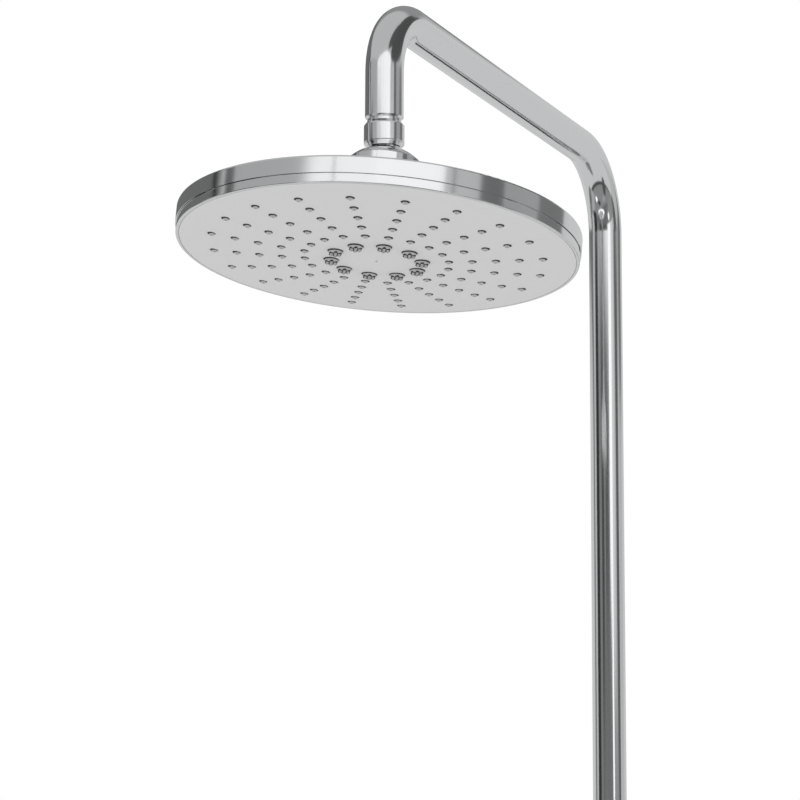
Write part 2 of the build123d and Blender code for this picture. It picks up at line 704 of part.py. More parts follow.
# Union at the riser's foot: a captive hex nut round a flanged tail
inlet_thread_r = INLET_THREAD_OD / 2
with BuildPart() as inlet_nut:
    with BuildSketch(inlet):
        RegularPolygon(INLET_NUT_FLATS / 2, 6, major_radius=False)
    extrude(amount=INLET_NUT_HEIGHT)
    corner_edges = inlet_nut.edges().filter_by(Axis.Z, reverse=True)
    chamfer(corner_edges.group_by(Axis.Z)[-1], INLET_NUT_CHAMFER)
    with BuildSketch(section(inlet)):
        with BuildLine():
            Polyline(
                (0, 0),
                (inlet_thread_r, 0),
                (inlet_thread_r, INLET_THREAD_LENGTH),
                (inlet_thread_r + INLET_RELIEF, INLET_THREAD_LENGTH),
                (inlet_thread_r + INLET_RELIEF, inlet_flange_top),
                (INLET_NECK_OD / 2 + INLET_NECK_GAP, inlet_flange_top),
                (INLET_NECK_OD / 2 + INLET_NECK_GAP, INLET_NUT_HEIGHT),
                (0, INLET_NUT_HEIGHT),
                close=True,
            )
        make_face()
    revolve(axis=turning_axis(inlet), mode=Mode.SUBTRACT)
inlet_nut.part.label = "inlet_nut"

with BuildPart() as inlet_tail:
    with BuildSketch(section(inlet)):
        with BuildLine():
            Polyline(
                (INLET_BORE / 2, inlet_washer_top),
                (INLET_FLANGE_OD / 2, inlet_washer_top),
                (INLET_FLANGE_OD / 2, inlet_flange_top),
                (INLET_NECK_OD / 2, inlet_flange_top),
                (INLET_NECK_OD / 2, inlet_shoulder_foot),
                (TUBE_R, inlet_shoulder_foot),
                (TUBE_R, tube_foot_height),
                (TUBE_BORE_R - SOLDER_GAP, tube_foot_height),
                (TUBE_BORE_R - SOLDER_GAP, tube_foot_height + SPIGOT_LENGTH),
                (INLET_BORE / 2, tube_foot_height + SPIGOT_LENGTH),
                close=True,
            )
        make_face()
    revolve(axis=turning_axis(inlet))
inlet_tail.part.label = "inlet_tail"

with BuildPart() as inlet_washer:
    with BuildSketch(inlet.offset(INLET_THREAD_LENGTH)):
        Circle(INLET_FLANGE_OD / 2)
        Circle(INLET_BORE / 2, mode=Mode.SUBTRACT)
    extrude(amount=INLET_WASHER_HEIGHT)
inlet_washer.part.label = "inlet_washer"

# Wall plate with two countersunk screw holes and a boss for the post
with BuildPart() as wall_plate:
    with BuildSketch(wall):
        Circle(WALL_PLATE_OD / 2)
    extrude(amount=WALL_PLATE_HEIGHT)
    with BuildSketch(wall.offset(WALL_PLATE_HEIGHT)):
        Circle(BOSS_OD / 2)
    extrude(amount=BOSS_HEIGHT)
    with Locations(wall.offset(WALL_PLATE_HEIGHT)):
        with GridLocations(SCREW_SPACING, 1, 2, 1):
            CounterSinkHole(SCREW_HOLE / 2, SCREW_HEAD / 2)
wall_plate.part.label = "wall_plate"

# Cover over the wall plate, open at the wall and holed for the post
with BuildPart() as wall_rosette:
    with BuildSketch(wall):
        Circle(ROSETTE_OD / 2)
    extrude(amount=ROSETTE_HEIGHT)
    chamfer(wall_rosette.faces().sort_by(Axis.Y)[0].edges(), ROSETTE_CHAMFER)
    offset(amount=-ROSETTE_WALL, openings=wall_rosette.faces().sort_by(Axis.Y)[-1])
    with BuildSketch(wall):
        Circle(POST_OD / 2 + ROSETTE_GAP)
    extrude(amount=ROSETTE_HEIGHT, mode=Mode.SUBTRACT)
wall_rosette.part.label = "wall_rosette"

# Post from the wall to a ring round the riser
clamp_bore_r = TUBE_R + LINER_SLEEVE_WALL + RUNNING_GAP
clamp_r = clamp_bore_r + CLAMP_WALL
grub_place = POST_FROM_WALL + BOSS_HEIGHT / 2 + ROSETTE_HEIGHT / 2
with BuildPart() as bracket_post:
    with BuildSketch(bracket.offset(-CLAMP_HEIGHT / 2)):
        Circle(clamp_r)
    extrude(amount=CLAMP_HEIGHT)
    chamfer(bracket_post.edges().filter_by(GeomType.CIRCLE), CLAMP_CHAMFER)
    with BuildSketch(wall.offset(POST_FROM_WALL)):
        Circle(POST_OD / 2)
    extrude(amount=RISER_TO_WALL - POST_FROM_WALL)
    with BuildSketch(bracket.offset(-CLAMP_HEIGHT / 2)):
        Circle(clamp_bore_r)
    extrude(amount=CLAMP_HEIGHT, mode=Mode.SUBTRACT)
    with BuildSketch(wall.offset(POST_FROM_WALL)):
        Circle(BOSS_OD / 2 + BOSS_GAP)
    extrude(
        amount=WALL_PLATE_HEIGHT + BOSS_HEIGHT - POST_FROM_WALL + BOSS_GAP,
        mode=Mode.SUBTRACT,
    )
    with BuildSketch(Plane.XY.offset(-POST_OD)):
        with Locations((0, -grub_place)):
            Circle(GRUB_OD / 2 + GRUB_GAP)
    extrude(amount=POST_OD, mode=Mode.SUBTRACT)
bracket_post.part.label = "bracket_post"

# Split sleeve between the ring and the tube
with BuildPart() as bracket_sleeve:
    with BuildSketch(bracket.offset(-CLAMP_HEIGHT / 2)):
        Circle(TUBE_R + LINER_SLEEVE_WALL)
        Circle(TUBE_R + RUNNING_GAP, mode=Mode.SUBTRACT)
        with Locations((0, -TUBE_R)):
            Rectangle(LINER_SLEEVE_SPLIT, TUBE_R, mode=Mode.SUBTRACT)
    extrude(amount=CLAMP_HEIGHT)
bracket_sleeve.part.label = "bracket_sleeve"

# Grub screw under the post, against the boss
with BuildPart() as post_grub_screw:
    with BuildSketch(Plane.XY.offset(-POST_OD / 2)):
        with Locations((0, -grub_place)):
            Circle(GRUB_OD / 2)
    extrude(amount=POST_OD / 2 - BOSS_OD / 2 - BOSS_GAP)
    with BuildSketch(Plane.XY.offset(-POST_OD / 2)):
        with Locations((0, -grub_place)):
            RegularPolygon(GRUB_SOCKET / 2, 6)
    extrude(amount=GRUB_SOCKET_DEPTH, mode=Mode.SUBTRACT)
post_grub_screw.part.label = "post_grub_screw"

pieces = [
    riser_tube,
    neck_fitting,
    flow_regulator,
    filter_washer,
    swivel_nut,
    ball_stem,
    ball_liner,
    ball_seat,
    seat_ring,
    hub_cap,
    hub_body,
    hub_gasket,
    hub_locknut,
    head_shell,
    rim_bezel,
    face_plate,
    nozzle_mat,
    cluster_nozzles,
    distributor_plate,
    rim_seal,
    inlet_nut,
    inlet_tail,
    inlet_washer,
    wall_plate,
    wall_rosette,
    bracket_post,
    bracket_sleeve,
    post_grub_screw,
]
os.makedirs("parts", exist_ok=True)
for piece in pieces:
    export_step(piece.part, f"parts/{piece.part.label}.step")
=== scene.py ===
import json
from math import cos, pi, radians, sin, sqrt, tan

import bpy
from mathutils import Matrix, Vector


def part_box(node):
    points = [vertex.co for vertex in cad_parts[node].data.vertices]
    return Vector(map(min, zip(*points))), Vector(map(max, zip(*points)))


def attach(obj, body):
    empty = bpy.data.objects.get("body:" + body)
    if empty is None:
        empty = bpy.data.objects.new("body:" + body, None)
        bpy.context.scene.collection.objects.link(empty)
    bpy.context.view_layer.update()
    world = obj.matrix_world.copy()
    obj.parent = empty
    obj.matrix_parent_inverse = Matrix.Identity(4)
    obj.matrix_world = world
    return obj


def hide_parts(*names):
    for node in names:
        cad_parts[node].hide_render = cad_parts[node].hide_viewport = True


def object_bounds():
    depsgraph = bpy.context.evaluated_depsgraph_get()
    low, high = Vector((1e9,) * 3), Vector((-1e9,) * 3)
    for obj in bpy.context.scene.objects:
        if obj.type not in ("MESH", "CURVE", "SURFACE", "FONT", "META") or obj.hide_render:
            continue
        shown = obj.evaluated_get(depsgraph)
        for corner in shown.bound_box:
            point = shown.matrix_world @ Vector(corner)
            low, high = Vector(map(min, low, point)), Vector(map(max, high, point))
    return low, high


bl_info = {
    "name": "Overhead Shower",
    "version": (1, 0, 0),
    "blender": (4, 5, 0),
    "location": "View3D > Sidebar > Shower",
    "description": "Dresses the overhead shower: tube, head, nozzles, bracket and studio",
    "category": "Object",
}

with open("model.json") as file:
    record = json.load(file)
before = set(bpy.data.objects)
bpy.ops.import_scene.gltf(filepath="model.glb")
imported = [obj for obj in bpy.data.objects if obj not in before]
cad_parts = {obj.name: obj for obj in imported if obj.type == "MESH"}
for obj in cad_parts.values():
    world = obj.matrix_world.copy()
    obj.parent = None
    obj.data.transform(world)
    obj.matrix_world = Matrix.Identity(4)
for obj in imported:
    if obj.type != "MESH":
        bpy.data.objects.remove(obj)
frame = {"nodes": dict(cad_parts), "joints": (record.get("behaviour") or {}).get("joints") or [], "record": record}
nodes = frame["nodes"]
joints = {joint["name"]: joint for joint in frame["joints"]}
cad_low, cad_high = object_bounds()

MM = 0.001

# Where the pieces lie, read from the frame
BALL = Vector(joints["head_spin"]["pos_m"])
HEAD_Z = Vector(joints["head_spin"]["axis"]).normalized()
HEAD_Y = Vector(joints["tilt_side"]["axis"]).normalized()
HEAD_X = HEAD_Y.cross(HEAD_Z)
TUBE_LOW, TUBE_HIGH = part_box("riser_tube")
TUBE_RADIUS = TUBE_HIGH.x
RISER_Y = TUBE_HIGH.y - TUBE_RADIUS
NECK_Y = TUBE_LOW.y + TUBE_RADIUS
ARM_Z = TUBE_HIGH.z - TUBE_RADIUS

# The small nozzles, the pip at the face's middle and the larger nozzles with their jets: turned
# profiles of radius and height above the face in millimetres, and the number of their sides
ROOT = 2.0
SMALL_BODY = ((1.8, ROOT), (1.8, -0.1), (1.65, -0.9), (1.3, -1.15), (0.75, -1.15), (0.65, 0.0))
# Round each small nozzle's root lies a black ring with a low black band up its foot: painted shade, standing for
# the dark gap in the face's hole
SMALL_PAINTED_SHADE = ((2.85, ROOT), (2.85, -0.04), (1.9, -0.05), (1.85, -0.3), (1.6, -0.3))
SMALL_SIDES = 14
PIP = ((0.8, ROOT), (0.8, -0.2), (0.5, -0.45))
PIP_SIDES = 12
LARGE_DOME = ((4.5, ROOT), (4.5, -0.8), (4.2, -1.3), (3.8, -1.8), (3.0, -2.1), (0.3, -2.3))
# Round each larger nozzle's root lies a black ring with a black band up its foot: painted shade of the gap and of
# the dark arc at the dome's root
LARGE_PAINTED_SHADE = ((5.0, ROOT), (5.0, -0.05), (4.7, -0.1), (4.6, -0.7), (4.0, -0.75))
LARGE_SIDES = 28
JET = ((0.85, -1.6), (0.85, -2.8), (0.7, -3.0), (0.4, -3.0), (0.35, -2.4))
# Round each jet's root stands a black collar: painted shade between the jets
JET_PAINTED_SHADE = ((1.35, -1.2), (1.35, -2.3), (0.8, -2.4))
JET_SIDES = 12
JET_RING = 2.8
OUTER_JETS = 6

# Handling marks, broad and faint, and the fine grain over them
MARKS_DETAIL = 4.0
MARKS_LOW = 0.3
MARKS_HIGH = 0.7
GRAIN_DETAIL = 2.0
GRAIN_FINENESS = 30.0
GRAIN_DEPTH = 0.05 * MM

# The stage, in metres. Each card stands CARD_STEP in front of the last, and nearer where its
# lower edge would be more than CARD_DROP down. A card whose lower edge is more than LOW_CARD
# times its distance down faces the riser's top, and any other faces the head.
FLOOR_SIZE = 30
FLOOR_COLOR = (0.8, 0.8, 0.8)
FLOOR_ROUGHNESS = 0.9
TENT_RADIUS = 12
TENT_SIDES = 48
TENT_RINGS = 24
TENT_GREY = 0.50
HEAD_AIM = Vector((0, (RISER_Y + NECK_Y) / 2, BALL.z))
RISER_AIM = Vector((0, RISER_Y, ARM_Z))
CARD_DISTANCE = 7.0
CARD_STEP = 0.03
CARD_DROP = 1.85
LEAST_DROP = 0.1
LOW_CARD = 0.24
SHEET_STEP = 5 * MM
SENSOR_WIDTH = 36
VIEW_END = 60


# The sizes and colours that a user would change


class ShowerTube(bpy.types.PropertyGroup):
    sides: bpy.props.IntProperty(name="Sides", description="Faces round the tube", default=96)
    wall: bpy.props.FloatProperty(
        name="Wall", description="Thickness of the tube's wall", default=1.2 * MM, unit="LENGTH"
    )
    riser_bend: bpy.props.FloatProperty(
        name="Riser bend", description="Centre-line radius", default=55 * MM, unit="LENGTH"
    )
    neck_bend: bpy.props.FloatProperty(
        name="Neck bend", description="Centre-line radius", default=41 * MM, unit="LENGTH"
    )
    neck_drop: bpy.props.FloatProperty(
        name="Neck drop", description="Tube's end below the arm", default=67.2 * MM, unit="LENGTH"
    )
    bend_steps: bpy.props.IntProperty(
        name="Bend steps", description="Rings of faces round a bend", default=28
    )


class ShowerFace(bpy.types.PropertyGroup):
    below_ball: bpy.props.FloatProperty(
        name="Face",
        description="Face's lowest point below the ball",
        default=57 * MM,
        unit="LENGTH",
    )
    dome: bpy.props.FloatProperty(
        name="Dome", description="Radius of the face's dome", default=1205 * MM, unit="LENGTH"
    )
    rows: bpy.props.IntProperty(name="Rows", description="Straight rows of nozzles", default=20)
    rings: bpy.props.IntProperty(name="Rings", description="Nozzles in each row", default=5)
    first_ring: bpy.props.FloatProperty(
        name="First ring", description="Radius of the inner ring", default=44.6 * MM, unit="LENGTH"
    )
    ring_pitch: bpy.props.FloatProperty(
        name="Pitch", description="Step from ring to ring", default=14.4 * MM, unit="LENGTH"
    )
    turn: bpy.props.FloatProperty(
        name="Turn",
        description="Angle of the first row",
        default=radians(15.3),
        subtype="ANGLE",
    )
    clusters: bpy.props.IntProperty(name="Clusters", description="Larger nozzles", default=10)
    cluster_ring: bpy.props.FloatProperty(
        name="Cluster ring", description="Radius of their ring", default=28.2 * MM, unit="LENGTH"
    )


class ShowerFinish(bpy.types.PropertyGroup):
    chrome: bpy.props.FloatVectorProperty(
        name="Chrome", description="Plated metal", default=(0.88, 0.885, 0.89), subtype="COLOR"
    )
    face: bpy.props.FloatVectorProperty(
        name="Face", description="Satin spray face", default=(0.545, 0.545, 0.545), subtype="COLOR"
    )
    nozzle: bpy.props.FloatVectorProperty(
        name="Nozzle", description="Silicone nozzles", default=(0.62, 0.62, 0.63), subtype="COLOR"
    )
    brass: bpy.props.FloatVectorProperty(
        name="Brass", description="Bare brass", default=(0.72, 0.53, 0.24), subtype="COLOR"
    )
    # The rubber's colour, also that of the black rings painted as shade round the nozzles and jets
    rubber_and_painted_shade: bpy.props.FloatVectorProperty(
        name="Rubber", description="Washers and seals", default=(0.02, 0.02, 0.02), subtype="COLOR"
    )
    plastic: bpy.props.FloatVectorProperty(
        name="Plastic", description="Inner mouldings", default=(0.68, 0.68, 0.66), subtype="COLOR"
    )
    steel: bpy.props.FloatVectorProperty(
        name="Steel", description="Grub screw", default=(0.5, 0.51, 0.52), subtype="COLOR"
    )


class ShowerStudio(bpy.types.PropertyGroup):
    camera_place: bpy.props.FloatVectorProperty(
        name="Camera", description="Camera's place", default=(0.75007, -2.13214, -0.05334)
    )
    azimuth: bpy.props.FloatProperty(
        name="Azimuth", description="Camera's turn", default=radians(23.83), subtype="ANGLE"
    )
    pitch: bpy.props.FloatProperty(
        name="Pitch", description="Camera's upward tilt", default=radians(10.66), subtype="ANGLE"
    )
    roll: bpy.props.FloatProperty(
        name="Roll", description="Camera's roll", default=radians(0.26), subtype="ANGLE"
    )
    lens: bpy.props.FloatProperty(
        name="Lens", description="Focal length in millimetres on a 36 mm sensor", default=137.7
    )
    floor_drop: bpy.props.FloatProperty(
        name="Floor", description="Floor below the inlet", default=1.1, unit="LENGTH"
    )
    daylight: bpy.props.FloatProperty(
        name="Soft light", description="Even light on the object", default=0.95
    )


# Working steps that every piece shares


def deselect():
    if bpy.context.object and bpy.context.object.mode != "OBJECT":
        bpy.ops.object.mode_set(mode="OBJECT")
    bpy.ops.object.select_all(action="DESELECT")


def pick(obj):
    deselect()
    obj.select_set(True)
    bpy.context.view_layer.objects.active = obj


def head_matrix(radius=0.0, angle=0.0, height=0.0):
    """A place on the head: polar on its face, with the height above the face's lowest point."""
    face = bpy.context.scene.shower_face
    turned = Matrix((HEAD_X, HEAD_Y, HEAD_Z)).transposed().to_4x4()
    origin = BALL - HEAD_Z * face.below_ball
    spot = Matrix.Translation(Vector((radius * cos(angle), radius * sin(angle), height)))
    return Matrix.Translation(origin) @ turned @ spot


def face_rise(radius):
    dome = bpy.context.scene.shower_face.dome
    return dome - sqrt(dome**2 - radius**2)


def settle(obj, name, body, finish, replaced):
    """Names a finished piece, gives it its finish and hangs it on its body in its node's place."""
    pick(obj)
    bpy.ops.object.transform_apply(location=True, rotation=True, scale=True)
    obj.name = name
    obj.data.name = name
    if not obj.data.materials:
        obj.data.materials.append(finishes()[finish])
    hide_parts(*replaced)
    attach(obj, body)


def step_ring(rise, scale):
    """Extrudes the selected ring along Z and scales it about Z."""
    bpy.ops.mesh.extrude_region_move(TRANSFORM_OT_translate={"value": (0, 0, rise)})
    if scale != 1.0:
        bpy.ops.transform.resize(value=(scale, scale, 1), center_override=(0, 0, 0))


def turned_piece(profile, sides):
    """Turns a profile of radii and heights in millimetres about Z, and closes both its ends."""
    deselect()
    radius, height = profile[0][0] * MM, profile[0][1] * MM
    bpy.ops.mesh.primitive_circle_add(
        vertices=sides, radius=radius, fill_type="NGON", location=(0, 0, height)
    )
    obj = bpy.context.object
    bpy.ops.object.transform_apply(location=True, rotation=True, scale=True)
    bpy.ops.object.mode_set(mode="EDIT")
    bpy.ops.mesh.select_all(action="SELECT")
    for point in profile[1:]:
        next_radius, next_height = point[0] * MM, point[1] * MM
        step_ring(next_height - height, next_radius / radius)
        radius, height = next_radius, next_height
    bpy.ops.mesh.select_all(action="SELECT")
    bpy.ops.mesh.normals_make_consistent(inside=False)
    bpy.ops.object.mode_set(mode="OBJECT")
    return obj


def dressed(obj, finish):
    """Gives a part of a piece its own finish and smooth shading."""
    obj.data.materials.append(finishes()[finish])
    obj.data.shade_smooth()
    return obj


def join_parts(*parts):
    """Joins the parts of one piece, the first one's finish first."""
    deselect()
    for part in parts:
        part.select_set(True)
    bpy.context.view_layer.objects.active = parts[0]
    bpy.ops.object.join()
    return bpy.context.object


def join_copies(model, matrices):
    """Copies a piece to many places, each with its own mesh, and joins the copies."""
    copies = []
    for matrix in matrices:
        copy = model.copy()
        copy.data = model.data.copy()
        bpy.context.scene.collection.objects.link(copy)
        copy.matrix_world = matrix
        copies.append(copy)
    deselect()
    for copy in copies:
        copy.select_set(True)
    bpy.context.view_layer.objects.active = copies[0]
    bpy.ops.object.transform_apply(location=True, rotation=True, scale=True)
    bpy.ops.object.join()
    bpy.data.objects.remove(model)
    return bpy.context.object


# Finishes


def handling_marks():
    """Faint uneven patches, shared by every finish: a mask and a height."""
    group = bpy.data.node_groups.get("handling marks")
    if group:
        return group
    group = bpy.data.node_groups.new("handling marks", "ShaderNodeTree")
    size = group.interface.new_socket("Size", in_out="INPUT", socket_type="NodeSocketFloat")
    size.default_value = 40.0
    group.interface.new_socket("Mask", in_out="OUTPUT", socket_type="NodeSocketFloat")
    group.interface.new_socket("Height", in_out="OUTPUT", socket_type="NodeSocketFloat")
    given = group.nodes.new("NodeGroupInput")
    made = group.nodes.new("NodeGroupOutput")
    place = group.nodes.new("ShaderNodeTexCoord")
    broad = group.nodes.new("ShaderNodeTexNoise")
    broad.inputs["Detail"].default_value = MARKS_DETAIL
    fine = group.nodes.new("ShaderNodeTexNoise")
    fine.inputs["Detail"].default_value = GRAIN_DETAIL
    finer = group.nodes.new("ShaderNodeMath")
    finer.operation = "MULTIPLY"
    finer.inputs[1].default_value = GRAIN_FINENESS
    link = group.links.new
    link(place.outputs["Object"], broad.inputs["Vector"])
    link(place.outputs["Object"], fine.inputs["Vector"])
    link(given.outputs["Size"], broad.inputs["Scale"])
    link(given.outputs["Size"], finer.inputs[0])
    link(finer.outputs[0], fine.inputs["Scale"])
    link(broad.outputs["Fac"], made.inputs["Mask"])
    link(fine.outputs["Fac"], made.inputs["Height"])
    return group


def make_finish(name, color, metallic, rough, size, relief):
    """A surface whose roughness wanders between two values, with a very slight grain."""
    material = bpy.data.materials.new(name)
    material.use_nodes = True
    tree = material.node_tree
    surface = tree.nodes["Principled BSDF"]
    surface.inputs["Base Color"].default_value = (*color, 1)
    surface.inputs["Metallic"].default_value = metallic
    marks = tree.nodes.new("ShaderNodeGroup")
    marks.node_tree = handling_marks()
    marks.inputs["Size"].default_value = size
    spread = tree.nodes.new("ShaderNodeMapRange")
    spread.inputs["From Min"].default_value = MARKS_LOW
    spread.inputs["From Max"].default_value = MARKS_HIGH
    spread.inputs["To Min"].default_value = rough[0]
    spread.inputs["To Max"].default_value = rough[1]
    tree.links.new(marks.outputs["Mask"], spread.inputs["Value"])
    tree.links.new(spread.outputs["Result"], surface.inputs["Roughness"])
    if relief:
        bump = tree.nodes.new("ShaderNodeBump")
        bump.inputs["Strength"].default_value = relief
        bump.inputs["Distance"].default_value = GRAIN_DEPTH
        tree.links.new(marks.outputs["Height"], bump.inputs["Height"])
        tree.links.new(bump.outputs["Normal"], surface.inputs["Normal"])
    return material


# Each finish: its colour in the sidebar, how metallic it is, its least and most roughness, the
# size of its handling marks and its relief. Below are the settings that some have besides.
FINISHES = {
    "polished_chrome": ("chrome", 1.0, (0.01, 0.025), 14.0, 0),
    "bare_brass": ("brass", 1.0, (0.25, 0.4), 60.0, 0.1),
    "satin_face": ("face", 0.0, (0.38, 0.5), 40.0, 0.08),
    "grey_silicone": ("nozzle", 0.0, (0.10, 0.16), 80.0, 0),
    # black_rubber finishes the washers and seals, and also the black rings of painted shade round the nozzles and
    # jets
    "black_rubber": ("rubber_and_painted_shade", 0.0, (0.6, 0.8), 80.0, 0.15),
    "pale_plastic": ("plastic", 0.0, (0.4, 0.55), 50.0, 0.08),
    "plain_steel": ("steel", 1.0, (0.25, 0.4), 90.0, 0.1),
}
FINISH_EXTRAS = {
    "grey_silicone": {"Coat Weight": 0.5, "Coat Roughness": 0.08},
    "black_rubber": {"Specular IOR Level": 0.1},
}


def finishes():
    """The finish of every material slot, made once."""
    if "polished_chrome" not in bpy.data.materials:
        colors = bpy.context.scene.shower_finish
        for name, (color, metallic, rough, size, relief) in FINISHES.items():
            material = make_finish(name, getattr(colors, color), metallic, rough, size, relief)
            surface = material.node_tree.nodes["Principled BSDF"]
            for setting, value in FINISH_EXTRAS.get(name, {}).items():
                surface.inputs[setting].default_value = value
    return bpy.data.materials


# Operators: one for each piece or group of like pieces


class SHOWER_OT_finishes(bpy.types.Operator):
    """Gives every node of the frame its finish and smooth shading"""

    bl_idname = "shower.finishes"
    bl_label = "Finishes"

    def execute(self, context):
        slots = {row["node"]: row["material_slot"] for row in frame["record"]["subparts"]}
        for name, obj in nodes.items():
            obj.data.materials.clear()
            obj.data.materials.append(finishes()[slots[name]])
            obj.data.shade_smooth()
        return {"FINISHED"}


class SHOWER_OT_tube(bpy.types.Operator):
    """Bends the tube: up the wall, out along the arm and down the neck"""

    bl_idname = "shower.tube"
    bl_label = "Tube"

    def execute(self, context):
        tube = context.scene.shower_tube
        deselect()
        bpy.ops.mesh.primitive_circle_add(
            vertices=tube.sides, radius=TUBE_RADIUS, location=(0, RISER_Y, TUBE_LOW.z)
        )
        obj = context.object
        bpy.ops.object.transform_apply(location=True, rotation=True, scale=True)
        bpy.ops.object.mode_set(mode="EDIT")
        bpy.ops.mesh.select_all(action="SELECT")
        rise = ARM_Z - tube.riser_bend - TUBE_LOW.z
        bpy.ops.mesh.extrude_region_move(TRANSFORM_OT_translate={"value": (0, 0, rise)})
        bpy.ops.mesh.spin(
            steps=tube.bend_steps,
            angle=pi / 2,
            center=(0, RISER_Y - tube.riser_bend, ARM_Z - tube.riser_bend),
            axis=(-1, 0, 0),
        )
        reach = RISER_Y - NECK_Y - tube.riser_bend - tube.neck_bend
        bpy.ops.mesh.extrude_region_move(TRANSFORM_OT_translate={"value": (0, -reach, 0)})
        bpy.ops.mesh.spin(
            steps=tube.bend_steps,
            angle=pi / 2,
            center=(0, NECK_Y + tube.neck_bend, ARM_Z - tube.neck_bend),
            axis=(-1, 0, 0),
        )
        drop = tube.neck_drop - tube.neck_bend
        bpy.ops.mesh.extrude_region_move(TRANSFORM_OT_translate={"value": (0, 0, -drop)})
        bpy.ops.mesh.select_all(action="SELECT")
        bpy.ops.mesh.remove_doubles(threshold=0.01 * MM)
        bpy.ops.mesh.normals_make_consistent(inside=False)
        bpy.ops.object.mode_set(mode="OBJECT")
        thick = obj.modifiers.new("wall", "SOLIDIFY")
        thick.thickness = tube.wall
        thick.offset = -1.0
        thick.use_even_offset = True
        bpy.ops.object.modifier_apply(modifier=thick.name)
        bpy.ops.object.shade_smooth_by_angle(angle=radians(30))
        settle(obj, "bent_tube", "riser_column", "polished_chrome", ["riser_tube"])
        return {"FINISHED"}


class SHOWER_OT_small_nozzles(bpy.types.Operator):
    """Sets the rows of small silicone nozzles in the face, each in a black ring of painted shade, with the pip at
    its middle
    """

    bl_idname = "shower.small_nozzles"
    bl_label = "Small Nozzles"

    def execute(self, context):
        face = context.scene.shower_face
        body = dressed(turned_piece(SMALL_BODY, SMALL_SIDES), "grey_silicone")
        # A black ring of painted shade round each nozzle's root, standing for the dark gap in its hole
        painted_shade = dressed(turned_piece(SMALL_PAINTED_SHADE, SMALL_SIDES), "black_rubber")
        model = join_parts(body, painted_shade)
        places = []
        for ring in range(face.rings):
            radius = face.first_ring + ring * face.ring_pitch
            for row in range(face.rows):
                angle = face.turn + row * 2 * pi / face.rows
                places.append(head_matrix(radius, angle, face_rise(radius)))
        pip = dressed(turned_piece(PIP, PIP_SIDES), "grey_silicone")
        pip = join_copies(pip, [head_matrix()])
        nozzles = join_parts(join_copies(model, places), pip)
        settle(nozzles, "small_nozzles", "shower_head", "grey_silicone", ["nozzle_mat"])
        return {"FINISHED"}


class SHOWER_OT_cluster_nozzles(bpy.types.Operator):
    """Sets the ring of larger nozzles, each a low dome with seven jets, with black rings of painted shade round
    the dome's root and each jet's root
    """

    bl_idname = "shower.cluster_nozzles"
    bl_label = "Cluster Nozzles"

    def execute(self, context):
        face = context.scene.shower_face
        # Black ring and band of painted shade round the dome's root, and black collars of painted shade round each
        # jet's root
        painted_shade = dressed(turned_piece(LARGE_PAINTED_SHADE, LARGE_SIDES), "black_rubber")
        dome = dressed(turned_piece(LARGE_DOME, LARGE_SIDES), "grey_silicone")
        painted_collar_shade = dressed(turned_piece(JET_PAINTED_SHADE, JET_SIDES), "black_rubber")
        jet = join_parts(dressed(turned_piece(JET, JET_SIDES), "grey_silicone"), painted_collar_shade)
        ring = [Matrix.Translation((0, 0, 0))]
        for step in range(OUTER_JETS):
            angle = step * 2 * pi / OUTER_JETS
            place = Vector((cos(angle), sin(angle), 0)) * JET_RING * MM
            ring.append(Matrix.Translation(place))
        dome = join_parts(dome, join_copies(jet, ring), painted_shade)
        radius = face.cluster_ring
        places = [
            head_matrix(radius, face.turn + step * 2 * pi / face.clusters, face_rise(radius))
            for step in range(face.clusters)
        ]
        nozzles = join_copies(dome, places)
        settle(nozzles, "larger_nozzles", "shower_head", "grey_silicone", ["cluster_nozzles"])
        return {"FINISHED"}


class SHOWER_OT_studio(bpy.types.Operator):
    """Sets the pale floor, the soft light, the reflector cards and the camera"""

    bl_idname = "shower.studio"
    bl_label = "Studio"

    def execute(self, context):
        studio = context.scene.shower_studio
        floor_level = cad_low.z - studio.floor_drop
        deselect()
        bpy.ops.mesh.primitive_plane_add(size=FLOOR_SIZE, location=(0, 0, floor_level))
        floor = context.object
        floor.name = "floor"
        floor.data.materials.append(floor_finish())
        set_tent()
        for number, (name, sheet) in enumerate(GROUND_SHEETS.items()):
            set_sheet(name, floor_level + (number + 1) * SHEET_STEP, sheet)
        distance = CARD_DISTANCE
        for name, card in REFLECTORS.items():
            distance = set_card(name, distance - CARD_STEP, card)
        light_world(studio.daylight)
        bpy.ops.object.camera_add()
        camera = context.object
        camera.data.lens = studio.lens
        camera.data.sensor_width = SENSOR_WIDTH
        camera.data.clip_end = VIEW_END
        camera.matrix_world = camera_matrix(studio)
        context.scene.camera = camera
        context.scene.view_settings.view_transform = "Standard"
        return {"FINISHED"}


def camera_matrix(studio):
    """The camera's place and turn, from its azimuth, upward tilt and roll."""
    a, p, r = studio.azimuth, studio.pitch, studio.roll
    ahead = Vector((-sin(a) * cos(p), cos(a) * cos(p), sin(p)))
    right = Vector((cos(a), sin(a), 0))
    up = right.cross(ahead)
    rolled_right = cos(r) * right + sin(r) * up
    rolled_up = -sin(r) * right + cos(r) * up
    turned = Matrix((rolled_right, rolled_up, -ahead)).transposed().to_4x4()
    return Matrix.Translation(studio.camera_place) @ turned


